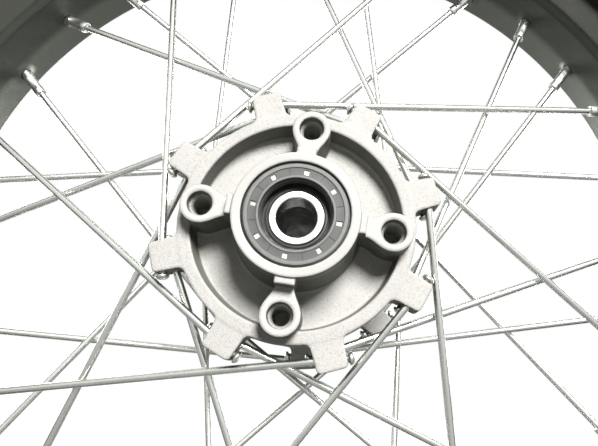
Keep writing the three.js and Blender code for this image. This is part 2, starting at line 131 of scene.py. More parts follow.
def lamp(name, elevation, bearing, strength, spread, tint):
    """A distant soft lamp. bearing 0 shines from the camera's side, and is measured towards +X."""
    data = bpy.data.lights.new(name, "SUN")
    data.energy, data.angle, data.color = strength, math.radians(spread), tint
    obj = bpy.data.objects.new(name, data)
    rise, turn = math.radians(elevation), math.radians(bearing)
    towards = Vector((math.cos(rise) * math.sin(turn), -math.cos(rise) * math.cos(turn), math.sin(rise)))
    towards = Matrix.Rotation(math.radians(-STUDIO_TURN), 3, "Y") @ towards
    obj.rotation_euler = towards.to_track_quat("Z", "Y").to_euler()
    bpy.context.scene.collection.objects.link(obj)


def studio():
    lamp("key", 30, 18, 7.58, 22, (1.0, 0.992, 0.978))
    lamp("front_fill", 8, 4, 0.03, 60, (0.93, 1.0, 0.90))
    for name, bearing in (("back_left", -142), ("back_right", 142)):
        lamp(name, 16, bearing, 1.7, 35, (1.0, 1.0, 0.985))
    world = bpy.data.worlds.new("white_studio")
    world.use_nodes = True
    tree = world.node_tree
    tree.nodes.clear()
    node = tree.nodes.new

    def room(strength, colour=(1, 1, 1, 1)):
        background = node("ShaderNodeBackground")
        background.inputs["Color"].default_value = colour
        background.inputs["Strength"].default_value = strength
        return background

    # White to the eye and dim in the shadows; in gloss, a wide white panel above and ahead of the disc side.
    path, place, lean = node("ShaderNodeLightPath"), node("ShaderNodeTexCoord"), node("ShaderNodeVectorMath")
    lean.operation = "DOT_PRODUCT"
    lean.inputs[1].default_value = PANEL_TOWARDS
    ahead = node("ShaderNodeMapRange")
    ahead.interpolation_type = "SMOOTHSTEP"
    ahead.inputs["From Min"].default_value, ahead.inputs["From Max"].default_value = PANEL_EDGE
    ahead.inputs["To Min"].default_value, ahead.inputs["To Max"].default_value = PANEL_LIGHT
    panel = room(1.0, (0.975, 1.0, 0.96, 1))
    dim = room(ROOM_LIGHT, (0.86, 1.0, 0.80, 1))
    white = room(1.0)
    gloss, whole = node("ShaderNodeMixShader"), node("ShaderNodeMixShader")
    out = node("ShaderNodeOutputWorld")
    for start, end in (
        (place.outputs["Generated"], lean.inputs[0]), (lean.outputs["Value"], ahead.inputs["Value"]),
        (ahead.outputs[0], panel.inputs["Strength"]), (path.outputs["Is Glossy Ray"], gloss.inputs[0]),
        (dim.outputs[0], gloss.inputs[1]), (panel.outputs[0], gloss.inputs[2]),
        (path.outputs["Is Camera Ray"], whole.inputs[0]), (gloss.outputs[0], whole.inputs[1]),
        (white.outputs[0], whole.inputs[2]), (whole.outputs[0], out.inputs[0]),
    ):
        tree.links.new(start, end)
    scene = bpy.context.scene
    scene.world = world
    scene.view_settings.view_transform = "Standard"
    scene.view_settings.look = "None"


# ---------- material helpers ----------
class Shader:
    """A node material in the making: a Principled shader and the few nodes that feed it."""

    def __init__(self, name, metallic, roughness, **sockets):
        self.material = bpy.data.materials.new(name)
        self.material.use_nodes = True
        self.tree = self.material.node_tree
        self.tree.nodes.clear()
        self.out = self.add("ShaderNodeOutputMaterial")
        self.bsdf = self.add("ShaderNodeBsdfPrincipled")
        self.tree.links.new(self.bsdf.outputs[0], self.out.inputs[0])
        self.bsdf.inputs["Metallic"].default_value = metallic
        self.bsdf.inputs["Roughness"].default_value = roughness
        for socket, value in sockets.items():
            self.bsdf.inputs[socket.replace("_", " ")].default_value = value
        self.object_space = self.add("ShaderNodeTexCoord").outputs["Object"]

    def add(self, kind, **settings):
        node = self.tree.nodes.new(kind)
        for key, value in settings.items():
            setattr(node, key, value)
        return node

    def feed(self, node, *values):
        """Links or sets a node's inputs in their order."""
        for socket, value in zip(node.inputs, values):
            if isinstance(value, bpy.types.NodeSocket):
                self.tree.links.new(value, socket)
            else:
                socket.default_value = value
        return node

    def noise(self, size_mm, detail, rough=0.55):
        """Noise with features of about size_mm, as one number from 0 to 1."""
        scale = self.add("ShaderNodeMapping")
        self.tree.links.new(self.object_space, scale.inputs["Vector"])
        scale.inputs["Scale"].default_value = [1 / (size_mm * MM)] * 3
        node = self.add("ShaderNodeTexNoise")
        self.tree.links.new(scale.outputs[0], node.inputs["Vector"])
        node.inputs["Scale"].default_value = 1.0
        node.inputs["Detail"].default_value = detail
        node.inputs["Roughness"].default_value = rough
        return node.outputs["Fac"]

    def spread(self, value, low, high, to_low=0.0, to_high=1.0):
        """The value's place between low and high, as a number from to_low to to_high."""
        node = self.add("ShaderNodeMapRange")
        self.feed(node, value, low, high, to_low, to_high)
        return node.outputs[0]

    def maths(self, operation, *values):
        return self.feed(self.add("ShaderNodeMath", operation=operation), *values).outputs[0]

    def axle_polar(self):
        """Distance from the axle and place along it, both in millimetres."""
        split = self.add("ShaderNodeSeparateXYZ")
        self.tree.links.new(self.object_space, split.inputs[0])
        squares = [self.maths("MULTIPLY", split.outputs[i], split.outputs[i]) for i in (0, 2)]
        radius = self.maths("SQRT", self.maths("ADD", *squares))
        return self.maths("MULTIPLY", radius, 1 / MM), self.maths("MULTIPLY", split.outputs[1], 1 / MM)

    def normal_along_axle(self):
        """How far the surface faces along the axle, from -1 to 1."""
        split = self.add("ShaderNodeSeparateXYZ")
        self.tree.links.new(self.object_space.node.outputs["Normal"], split.inputs[0])
        return split.outputs["Y"]

    def boss_distance(self, pitch_r):
        """Distance in millimetres from the nearest of four axes at pitch_r, on X and on Z."""
        split = self.add("ShaderNodeSeparateXYZ")
        self.tree.links.new(self.object_space, split.inputs[0])
        x, z = (self.maths("MULTIPLY", self.maths("ABSOLUTE", split.outputs[i]), 1 / MM) for i in (0, 2))
        out = self.maths("SUBTRACT", self.maths("MAXIMUM", x, z), pitch_r)
        side = self.maths("MINIMUM", x, z)
        squares = [self.maths("MULTIPLY", v, v) for v in (out, side)]
        return self.maths("SQRT", self.maths("ADD", *squares))

    def mix_colour(self, factor, first, second):
        node = self.add("ShaderNodeMix", data_type="RGBA")
        for name, value in (("Factor", factor), ("A", first), ("B", second)):
            socket = [s for s in node.inputs if s.name == name and s.enabled][0]
            if isinstance(value, bpy.types.NodeSocket):
                self.tree.links.new(value, socket)
            else:
                socket.default_value = value if name == "Factor" else (*value, 1)
        return [s for s in node.outputs if s.enabled][0]

    def colour(self, value):
        self.tree.links.new(value, self.bsdf.inputs["Base Color"])

    def roughness(self, value):
        self.tree.links.new(value, self.bsdf.inputs["Roughness"])

    def specular(self, value):
        self.tree.links.new(value, self.bsdf.inputs["Specular IOR Level"])

    def bump(self, height, depth_mm):
        node = self.add("ShaderNodeBump")
        node.inputs["Strength"].default_value = 1.0
        node.inputs["Distance"].default_value = depth_mm * MM
        self.tree.links.new(height, node.inputs["Height"])
        self.tree.links.new(node.outputs[0], self.bsdf.inputs["Normal"])


def cast_aluminium():
    """Sand-cast skin, with the boss faces and nose turned, and painted shade on its side walls and in its
    screw holes.
    """
    s = Shader("cast_aluminium", 0.08, 0.6, Specular_IOR_Level=0.3)
    radius, along = s.axle_polar()
    grain, pores = s.noise(0.5, 5, rough=0.65), s.noise(1.1, 4, rough=0.7)
    cloud, blotch = s.noise(16, 3), s.noise(4.5, 4)
    machined = s.spread(along, 0.4 - BOSS_FACE, 0.15 - BOSS_FACE)
    tone = s.mix_colour(s.spread(cloud, 0.35, 0.65), (0.385, 0.377, 0.355), (0.425, 0.418, 0.396))
    tone = s.mix_colour(s.spread(blotch, 0.45, 0.75, 0, 0.5), tone, (0.355, 0.347, 0.323))
    tone = s.mix_colour(s.spread(grain, 0.40, 0.60, 0, 0.55), tone, (0.50, 0.493, 0.472))
    tone = s.mix_colour(s.spread(pores, 0.52, 0.70, 0, 0.75), tone, (0.27, 0.264, 0.24))
    tone = s.mix_colour(s.maths("MULTIPLY", machined, 0.75), tone, (0.450, 0.446, 0.428))
    # painted shade: surfaces that face across the axle, such as the pocket and nose walls, are darkened
    facing = s.maths("ABSOLUTE", s.normal_along_axle())
    tone = s.mix_colour(s.spread(facing, 0.70, 0.30, 0, 0.85), tone, (0.110, 0.116, 0.094))
    # painted shade: the screw holes' bores past the countersink are painted darker
    inside = s.spread(s.boss_distance(BOSS_PITCH_R), 4.0, 3.6)
    hole = s.maths("MULTIPLY", inside, s.spread(along, 2.8 - BOSS_FACE, 3.5 - BOSS_FACE))
    hole = s.maths("MULTIPLY", hole, s.spread(along, -24, -26))
    s.colour(s.mix_colour(hole, tone, (0.24, 0.243, 0.215)))
    sand = s.spread(grain, 0.3, 0.7, 0.48, 0.64)
    s.roughness(s.maths("SUBTRACT", sand, s.maths("MULTIPLY", machined, 0.1)))
    coarse = s.maths("ADD", grain, s.maths("MULTIPLY", pores, 0.4))
    turning = s.maths("MULTIPLY", s.maths("SINE", s.maths("MULTIPLY", radius, TURN / 0.45)), 0.12)
    cast_part = s.maths("MULTIPLY", coarse, s.spread(machined, 0, 1, 1, 0.4))
    s.bump(s.maths("ADD", cast_part, s.maths("MULTIPLY", turning, machined)), 0.22)
    return s.material


def rim_paint():
    """Olive-black paint: a stronger sheen on the bed, more so past its ridge, and matt on the walls."""
    s = Shader("satin_black_paint", 0.0, 0.42, Specular_Tint=(0.93, 1.0, 0.84, 1))
    radius, along = s.axle_polar()
    peel, dust, haze = s.noise(1.3, 3), s.noise(4.5, 6), s.noise(38, 3)
    tone = s.mix_colour(s.spread(haze, 0.3, 0.7), (0.030, 0.0315, 0.0275), (0.040, 0.0415, 0.0365))
    s.colour(s.mix_colour(s.spread(dust, 0.6, 0.8), tone, (0.055, 0.056, 0.050)))
    bed = s.spread(radius, BED_R + 2.6, BED_R + 1.4)
    sheen = s.spread(along, -2.5, 3.0, 0.8, 1.75)
    matt = s.spread(bed, 0, 1, 0.08, 0)
    s.specular(s.maths("ADD", s.maths("MULTIPLY", bed, sheen), matt))
    s.roughness(s.maths("ADD", s.spread(dust, 0.3, 0.75, 0.30, 0.42), s.spread(bed, 0, 1, 0.2, 0)))
    s.bump(s.maths("ADD", peel, s.maths("MULTIPLY", s.noise(0.4, 2), 0.4)), 0.04)
    return s.material


def plated_steel(name, tone, dull, roughness):
    """Bright plating with a patchy dull film and fine drawn texture."""
    s = Shader(name, 1.0, roughness)
    film, specks, drawn = s.noise(7, 4), s.noise(1.6, 4), s.noise(0.8, 2)
    base = s.mix_colour(s.spread(film, 0.35, 0.68), tone, dull)
    s.colour(s.mix_colour(s.spread(specks, 0.60, 0.78, 0, 0.8), base, tuple(c * 0.80 for c in dull)))
    s.roughness(s.spread(film, 0.3, 0.7, roughness * 0.8, roughness * 1.35))
    s.bump(drawn, 0.005)
    return s.material


def turned_steel(name, tone, roughness, pitch_mm):
    """Steel with fine turning lines pitch_mm apart."""
    s = Shader(name, 1.0, roughness)
    radius, along = s.axle_polar()
    stain = s.noise(5, 4)
    s.colour(s.mix_colour(s.spread(stain, 0.4, 0.75), tone, tuple(c * 0.82 for c in tone)))
    s.roughness(s.spread(stain, 0.3, 0.7, roughness * 0.8, roughness * 1.3))
    lines = s.maths("SINE", s.maths("MULTIPLY", s.maths("ADD", radius, along), TURN / pitch_mm))
    s.bump(s.maths("ADD", s.maths("MULTIPLY", lines, 0.3), s.noise(0.3, 2)), 0.012)
    return s.material


def moulded_rubber(name, tone, roughness):
    """Rubber with a pale bloom in patches."""
    s = Shader(name, 0.0, roughness, Specular_IOR_Level=0.4)
    bloom, fine = s.noise(3.5, 5), s.noise(0.35, 3)
    s.colour(s.mix_colour(s.spread(bloom, 0.35, 0.75), tone, tuple(c * 1.45 + 0.004 for c in tone)))
    s.roughness(s.spread(bloom, 0.3, 0.7, roughness - 0.08, roughness + 0.1))
    s.bump(fine, 0.05)
    return s.material


def seal_rubber():
    """Grey moulded rubber, paler on the raised rings than on the band between them, with painted shade near
    black on the recessed lip.
    """
    s = Shader("seal_rubber_grey", 0.0, 0.5, Specular_IOR_Level=0.4)
    radius, _ = s.axle_polar()
    bloom, fine = s.noise(3.0, 5), s.noise(0.35, 3)
    band = s.maths("MULTIPLY", s.spread(radius, 14.35, 14.5), s.spread(radius, 17.45, 17.3))
    # painted shade: the recessed lip, inside about 13.5 mm, is painted near black
    lip = s.spread(radius, 13.7, 13.3)
    rings = s.mix_colour(s.spread(bloom, 0.3, 0.75), (0.125, 0.128, 0.121), (0.190, 0.193, 0.184))
    sunk = s.mix_colour(s.spread(bloom, 0.3, 0.75), (0.058, 0.061, 0.058), (0.084, 0.087, 0.082))
    tone = s.mix_colour(band, rings, sunk)
    tone = s.mix_colour(lip, tone, (0.014, 0.016, 0.014))
    edge = s.maths("MULTIPLY", s.spread(radius, 12.98, 13.04), s.spread(radius, 13.18, 13.12))
    s.colour(s.mix_colour(edge, tone, (0.12, 0.122, 0.115)))
    s.roughness(s.spread(bloom, 0.3, 0.7, 0.42, 0.62))
    s.bump(fine, 0.05)
    return s.material


def floor_material():
    """Pale to the eye, and dim in reflections, as paper in the dark part of a studio is."""
    s = Shader("pale_floor", 0.0, 0.85)
    path = s.add("ShaderNodeLightPath")
    seen, mirrored = path.outputs["Is Camera Ray"], path.outputs["Is Glossy Ray"]
    paper = s.mix_colour(s.noise(60, 3), (0.34, 0.34, 0.336), (0.36, 0.36, 0.356))
    s.colour(s.mix_colour(seen, (0.04, 0.04, 0.038), paper))
    s.bsdf.inputs["Emission Color"].default_value = (1, 1, 1, 1)
    glow = s.maths("ADD", s.maths("MULTIPLY", seen, 0.60), s.maths("MULTIPLY", mirrored, 0.34))
    s.tree.links.new(glow, s.bsdf.inputs["Emission Strength"])
    s.bump(s.noise(2, 3), 0.05)
    return s.material


# ---------- mesh helpers ----------
def smooth(mesh, sharp):
    """Smooth shading, with edges over `sharp` degrees kept crisp."""
    mesh.polygons.foreach_set("use_smooth", [True] * len(mesh.polygons))
    mesh.set_sharp_from_angle(angle=math.radians(sharp))


def piece(name, vertices, faces, material, body="wheel", replaces=(), slot=None, sharp=35):
    """A mesh object from points in millimetres, riding on a CAD body."""
    mesh = bpy.data.meshes.new(name)
    mesh.from_pydata((np.asarray(vertices, float) * MM).tolist(), [], [tuple(f) for f in faces])
    mesh.validate()
    smooth(mesh, sharp)
    obj = bpy.data.objects.new(name, mesh)
    bpy.context.scene.collection.objects.link(obj)
    obj.data.materials.append(material)
    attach(obj, body)
    if replaces:
        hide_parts(*replaces)
    return obj


def rounded(corners, step, arc_steps=4):
    """A closed profile from (radius, place, rounding) corners, with long runs divided into steps."""
    points = []
    count = len(corners)
    for i, corner in enumerate(corners):
        here = np.array(corner[:2], float)
        r = corner[2] if len(corner) > 2 else 0
        if not r:
            points.append(here)
            continue
        before = np.array(corners[i - 1][:2], float) - here
        after = np.array(corners[(i + 1) % count][:2], float) - here
        before_len, after_len = np.linalg.norm(before), np.linalg.norm(after)
        before, after = before / before_len, after / after_len
        half = math.acos(max(-1, min(1, float(before @ after)))) / 2
        reach = min(r / math.tan(half), 0.49 * before_len, 0.49 * after_len)
        start, end = here + before * reach, here + after * reach
        for k in range(arc_steps + 1):
            t = k / arc_steps
            points.append((1 - t) ** 2 * start + 2 * t * (1 - t) * here + t * t * end)
    divided = []
    for i, p in enumerate(points):
        q = points[(i + 1) % len(points)]
        parts = max(1, int(np.linalg.norm(q - p) // step)) if step else 1
        divided += [p + (q - p) * k / parts for k in range(parts)]
    return divided


def lathe(profile, sides):
    """Vertices and faces, wound outwards, of a ring round the axle from a closed (radius, Y) profile."""
    profile = np.array(profile, float)
    nxt = np.roll(profile, -1, axis=0)
    if (profile[:, 0] * nxt[:, 1] - nxt[:, 0] * profile[:, 1]).sum() < 0:
        profile = profile[::-1]
    n = len(profile)
    angle = np.arange(sides) * TURN / sides
    r, y = profile[:, 0], profile[:, 1]
    vertices = np.stack([np.outer(np.cos(angle), r), np.tile(y, (sides, 1)), np.outer(np.sin(angle), r)], -1)
    row, col = np.meshgrid(np.arange(sides), np.arange(n), indexing="ij")
    row2, col2 = (row + 1) % sides, (col + 1) % n
    faces = np.stack([row * n + col, row * n + col2, row2 * n + col2, row2 * n + col], -1)
    return vertices.reshape(-1, 3), faces.reshape(-1, 4)


def tube(stations, sides, closed=False, section=None):
    """Vertices and faces of a bar through (point, direction, radius) stations; section shapes its outline."""
    turns = np.arange(sides) * TURN / sides
    rows = []
    for at, along, r in stations:
        along = np.array(along, float) / np.linalg.norm(along)
        level = np.cross(along, (0, 1, 0))
        if np.linalg.norm(level) < 1e-3:
            level = np.array((1.0, 0, 0))
        level = level / np.linalg.norm(level)
        up = np.cross(level, along)
        shape = r * (section(turns, r) if section else np.ones(sides))
        ring = np.outer(shape * np.cos(turns), level) + np.outer(shape * np.sin(turns), up)
        rows.append(np.array(at) + ring)
    count = len(rows)
    faces = []
    for i in range(count if closed else count - 1):
        a, b = i * sides, ((i + 1) % count) * sides
        faces += [(a + k, b + k, b + (k + 1) % sides, a + (k + 1) % sides) for k in range(sides)]
    if not closed:
        faces += [tuple(range(sides)), tuple(reversed(range((count - 1) * sides, count * sides)))]
    return np.vstack(rows), faces


def gathered(parts):
    """Several (vertices, faces) lists as one."""
    vertices, faces, start = [], [], 0
    for v, f in parts:
        vertices.append(np.asarray(v))
        faces += [tuple(int(i) + start for i in face) for face in f]
        start += len(v)
    return np.vstack(vertices), faces


def cut(obj, tool_vertices, tool_faces, sharp):
    """Cuts a closed tool, in millimetres, out of a piece."""
    mesh = bpy.data.meshes.new("tool")
    mesh.from_pydata((np.asarray(tool_vertices, float) * MM).tolist(), [], [tuple(f) for f in tool_faces])
    mesh.materials.append(obj.data.materials[0])
    tool = bpy.data.objects.new("tool", mesh)
    bpy.context.scene.collection.objects.link(tool)
    modifier = obj.modifiers.new("cut", "BOOLEAN")
    modifier.operation, modifier.solver, modifier.object = "DIFFERENCE", "MANIFOLD", tool
    depsgraph = bpy.context.evaluated_depsgraph_get()
    result = bpy.data.meshes.new_from_object(obj.evaluated_get(depsgraph))
    obj.modifiers.clear()
    old, obj.data = obj.data, result
    result.name = obj.name
    bpy.data.objects.remove(tool)
    bpy.data.meshes.remove(mesh)
    bpy.data.meshes.remove(old)
    smooth(result, sharp)


def polar(r, degrees, y):
    """The point r from the axle, at an angle from +X towards +Z, and at y along it."""
    a = math.radians(degrees)
    return np.array((r * math.cos(a), y, r * math.sin(a)))


def unit(v):
    return v / np.linalg.norm(v)


# ---------- spokes and nipples ----------
SPOKE_HEAD = [  # distance past the seat, radius
    (-2.2, 0.7), (-2.08, 1.35), (-1.8, 1.9), (-1.4, 2.3),
    (-0.95, 2.5), (-0.6, 2.48), (-0.42, 2.2), (-0.15, 1.6),
]
BEND_REACH, BEND_STEPS = 2.2, 8
# a nipple's collar and shank, the bar that its grip is squared from, and half the grip across its flats
COLLAR_R, SHANK_R, GRIP_R, GRIP_HALF = 2.5, 2.49, 2.491, 2.22


def spoke_line(side, turn, lug):
    """A spoke's path: level through its lug, then bent towards its hole in the rim."""
    lacing = LACING[side, turn]
    lug_angle = (NEAR_FLANGE if side < 0 else FAR_FLANGE)["phase"] + lug * 360 / LUGS
    foot = polar(lacing["hole_r"], lug_angle + turn * lacing["foot"], lacing["lug_y"])
    hole = polar(BED_R, lug_angle + turn * REACH + HUB_TWIST, lacing["rim_y"])
    level = unit((hole - foot) * (1, 0, 1))
    bend = foot + level * BEND_AFTER
    return dict(
        name=f"{dict(SIDES)[side]}_side_{lug + 1}{'a' if turn > 0 else 'b'}", seat=foot - level * SEAT_BEFORE,
        level=level, bend=bend, along=unit(hole - bend), hole=hole,
    )


SPOKES = [spoke_line(side, turn, lug) for side, _ in SIDES for lug in range(LUGS) for turn in (1, -1)]


def spoke_wire(line, material):
    seat, level, bend, along, hole = (line[k] for k in ("seat", "level", "bend", "along", "hole"))
    stations = [(seat + level * t, level, r) for t, r in SPOKE_HEAD]
    stations.append((seat + level * 0.4, level, WIRE_R))
    start, end = bend - level * BEND_REACH, bend + along * BEND_REACH
    for k in range(BEND_STEPS + 1):
        t = k / BEND_STEPS
        at = (1 - t) ** 2 * start + 2 * t * (1 - t) * bend + t * t * end
        stations.append((at, level * (1 - t) + along * t, WIRE_R))
    length = np.linalg.norm(hole - bend)
    stations += [(bend + along * t, along, WIRE_R) for t in np.linspace(BEND_REACH + 2, length - 4, 4)]
    name = "spoke_" + line["name"]
    piece(name, *tube(stations, 40), material, replaces=[name], slot="plated_spokes", sharp=60)


def nipple(line, material):
    """A bored mouth, a collar, a squared grip, a round shank through the rim, and a head in the well."""
    hole, along = line["hole"], line["along"]
    bored = WIRE_R + 0.06
    mouth = -NIPPLE_VISIBLE
    outline = [  # distance past the rim's bed, radius
        (mouth + 2.5, bored), (mouth + 0.35, bored), (mouth + 0.1, 1.95), (mouth, 2.2), (mouth + 0.1, 2.42),
        (mouth + 0.5, COLLAR_R), (mouth + 2.1, COLLAR_R), (mouth + 2.4, SHANK_R),
        (mouth + 2.8, GRIP_R), (-4.4, GRIP_R),
        (-4.0, SHANK_R), (-3.6, 2.45), (0.0, 2.4), (4.8, 2.3),
        (5.2, 2.4), (5.3, 3.3), (5.7, 3.5), (6.4, 3.5), (7.1, 3.1), (7.5, 2.2), (7.6, 1.2),
    ]

    def squared(turns, r):
        if r != GRIP_R:
            return np.ones(len(turns))
        return np.minimum(1, GRIP_HALF / r / np.maximum(np.abs(np.cos(turns)), np.abs(np.sin(turns))))

    stations = [(hole + along * t, along, r) for t, r in outline]
    bar = tube(stations, 32, section=squared)
    piece("nipple_" + line["name"], *bar, material, slot="plated_spokes", sharp=32)


# ---------- hub casting: one smooth solid, from distances in millimetres ----------
VOXEL = 0.5
SKIN = 3 * VOXEL  # distances past this are clipped
HUB_BOX = ((-58, 58.5), (-50.2, 40.5), (-58, 58.5))
BARREL = (
    (NOSE_Y, NOSE_R), (-30, NOSE_ROOT_R), (-23, 25.4), (-19, BARREL_R),
    (11, BARREL_R), (14.8, 25.4), (22, NOSE_ROOT_R), (FAR_NOSE_Y, NOSE_R),
)
LUG_HALF, LUG_TAPER, LUG_CROWN = 6.2, 0.45, 0.25
LUG_TIP_ROUND, LUG_ROOT_FILLET = 1.5, 2.2
POCKET_WALL, POCKET_DRAFT = 5.9, 0.13
NECK_HALF, STEP_HALF, STEP_FACE, NECK_FILLET = 3.4, 3.7, 47.6, 4.0
SCREW_DEPTH = 16
SCREW_HOLE = ((-1.0, 5.2), (0.0, 4.9), (0.5, 4.65), (3.1, 4.55), (4.4, 3.3), (15.0, 3.3))  # depth, radius
RIB_HALF, RIB_DRAFT = 3.3, 0.04
SPOKE_HOLE_R, DRILL_OVERRUN = 1.65, 3


def meet(a, b, r):
    """The part inside both, with its edges rounded to r."""
    return np.minimum(-r, np.maximum(a, b)) + np.hypot(np.maximum(r + a, 0), np.maximum(r + b, 0))


def merge(a, b, r):
    """The two joined, with a fillet of radius r."""
    return np.maximum(r, np.minimum(a, b)) - np.hypot(np.maximum(r - a, 0), np.maximum(r - b, 0))


def carve(a, b, r):
    """The first with the second taken out, with edges rounded to r."""
    return meet(a, -b, r)


def between(w, low, high):
    """Distance outside the slab from low to high."""
    return np.abs(w - (low + high) / 2) - (high - low) / 2


def folded(x, z, phase, count):
    """Place along and across the nearest of count spokes of symmetry."""
    angle = np.arctan2(z, x) - math.radians(phase)
    sector = TURN / count
    near = (angle + sector / 2) % sector - sector / 2
    r = np.hypot(x, z)
    return r * np.cos(near), r * np.sin(near)


def flange_field(x, z, r, y, at):
    """A lug flange: a ring with eight lugs, hollowed by its pocket."""
    w = y * at["side"]
    u, v = folded(x, z, at["phase"], LUGS)
    share = np.clip((u - at["ring"]) / (at["tip"] - at["ring"]), 0, 1)
    tip = (1 - LUG_CROWN) * u + LUG_CROWN * r - at["tip"]
    lug = meet(np.abs(v) - (LUG_HALF - LUG_TAPER * share), tip, LUG_TIP_ROUND)
    outline = merge(lug, r - at["ring"], LUG_ROOT_FILLET)
    lugs = meet(outline, between(w, at["lug_back"], at["face"]), 0.4)
    ring = meet(r - at["ring"], between(w, at["back"], at["face"]), 0.4)
    plate = merge(lugs, ring, 0.6)
    wall = at["ring"] - POCKET_WALL + (w - at["floor"]) * POCKET_DRAFT
    pocket = meet(r - wall, at["floor"] - w, 1.0)
    return carve(plate, pocket, 0.3)


def boss_fields(x, z, y):
    """The four disc bosses with their necks, the step of each neck on the nose, and the screw holes."""
    u, v = folded(x, z, 0, BOSSES)
    neck = meet(np.abs(v) - NECK_HALF, between(u, 18, 36), 0.1)
    outline = merge(neck, np.hypot(u - BOSS_PITCH_R, v) - BOSS_R, NECK_FILLET)
    boss = meet(outline, between(-y, BOSS_BACK, BOSS_FACE), 0.3)
    step = meet(meet(np.abs(v) - STEP_HALF, between(u, 21.1, 25.7), 0.2), between(-y, 40, STEP_FACE), 0.2)
    depth = y + BOSS_FACE
    hole_r = np.interp(depth, *zip(*SCREW_HOLE))
    hole = meet(np.hypot(u - BOSS_PITCH_R, v) - hole_r, depth - SCREW_DEPTH, 0.3)
    return boss, step, hole


def rib_field(x, z, y):
    """The four plain ribs of the far pocket."""
    u, v = folded(x, z, 0, BOSSES)
    plan = meet(np.abs(v) - RIB_HALF + RIB_DRAFT * (y - 18), between(u, 21, 39), 0.5)
    return meet(plan, between(y, 15.5, 28.2), 1.2)


def bore_field(r, y):
    """The stepped bore: a seal's and a bearing's seat at each end, and the shoulder between them."""
    ends = [(SEAL_BORE_R, SEAL_DEPTH), (BEARING_BORE_R, SEAL_DEPTH + 0.4 + BEARING_WIDTH + 0.3)]
    field = r - SHOULDER_R
    for radius, depth in ends:
        for outward in (y - NOSE_Y - depth, FAR_NOSE_Y - y - depth):
            field = np.minimum(field, meet(r - radius, outward, 0.15))
    return field


def drill(field, grid, line):
    """Cuts a spoke's hole through its lug, touching only the voxels near it."""
    over = line["level"] * DRILL_OVERRUN
    start, end = line["seat"] - over, line["bend"] + over
    half = (SEAT_BEFORE + BEND_AFTER) / 2 + DRILL_OVERRUN
    window = []
    for axis, places in enumerate(grid):
        low, high = sorted((start[axis], end[axis]))
        window.append(slice(*np.searchsorted(places, (low - 5, high + 5))))
    x, y, z = np.meshgrid(*[places[w] for places, w in zip(grid, window)], indexing="ij", sparse=True)
    offset = [c - s for c, s in zip((x, y, z), start)]
    along = sum(o * d for o, d in zip(offset, line["level"]))
    distance = np.sqrt(np.maximum(sum(o * o for o in offset) - along * along, 0))
    hole = meet(distance - SPOKE_HOLE_R, np.abs(along - half) - half, 0.1)
    block = tuple(window)
    field[block] = carve(field[block], hole, 0.25)


def hub_casting(material):
    grid = [np.arange(low, high, VOXEL, dtype=np.float32) for low, high in HUB_BOX]
    x, y, z = np.meshgrid(*grid, indexing="ij", sparse=True)
    r = np.hypot(x, z)
    body = meet(r - np.interp(y, *zip(*BARREL)), between(y, NOSE_Y, FAR_NOSE_Y), 0.4)
    whole = merge(body, flange_field(x, z, r, y, NEAR_FLANGE), 1.2)
    whole = merge(whole, flange_field(x, z, r, y, FAR_FLANGE), 1.2)
    boss, step, hole = boss_fields(x, z, y)
    whole = merge(whole, boss, 0.7)
    whole = merge(whole, step, 0.1)
    whole = merge(whole, rib_field(x, z, y), 1.5)
    whole = carve(whole, hole, 0.2)
    whole = carve(whole, bore_field(r, y), 0.25)
    for line in SPOKES:
        drill(whole, grid, line)
    field = openvdb.FloatGrid(SKIN)
    field.copyFromArray(np.clip(whole, -SKIN, SKIN).astype(np.float32))
    points, triangles, quads = field.convertToPolygons(0.0, 0.0)
    vertices = points * VOXEL + np.array([g[0] for g in grid])
    faces = [*quads.tolist(), *triangles.tolist()]
    piece("hub_casting", vertices, faces, material, replaces=["hub_shell"], slot="cast_hub", sharp=180)


# ---------- rim ----------
RIM_SIDES = 720
DIMPLE_RISE, DIMPLE_R = 1.5, 4.6  # the swelling of the bed round each nipple


def rim_profile():
    """The drop-centre section, from the bed out over each flange and back along the tyre's side."""
    half = [
        (BED_R, BED_HALF, 2.2), (BED_R + 2.4, BED_HALF + 3.4, 1.5), (BEAD_SEAT_R - 4, BED_HALF + 6.4, 2.5),
        (BEAD_SEAT_R - 2.4, FLANGE_HALF, 2.0), (BEAD_SEAT_R + 1.5, FLANGE_HALF + 2.9, 2.0),
        (RIM_R - 3, FLANGE_HALF + 2.9, 1.5), (RIM_R - 0.8, RIM_HALF, 1.2), (RIM_R, FLANGE_HALF + 1.2, 1.2),
        (RIM_R - 2.4, FLANGE_HALF, 1.0), (BEAD_SEAT_R, FLANGE_HALF, 1.5),
        (BEAD_SEAT_R - 0.4, BED_HALF + 2.5, 2.5), (WELL_R, BED_HALF - 2.5, 2.5),
    ]
    mirrored = [(r, -y, k) for r, y, k in reversed(half)]
    return rounded(half + mirrored, step=1.1, arc_steps=5)


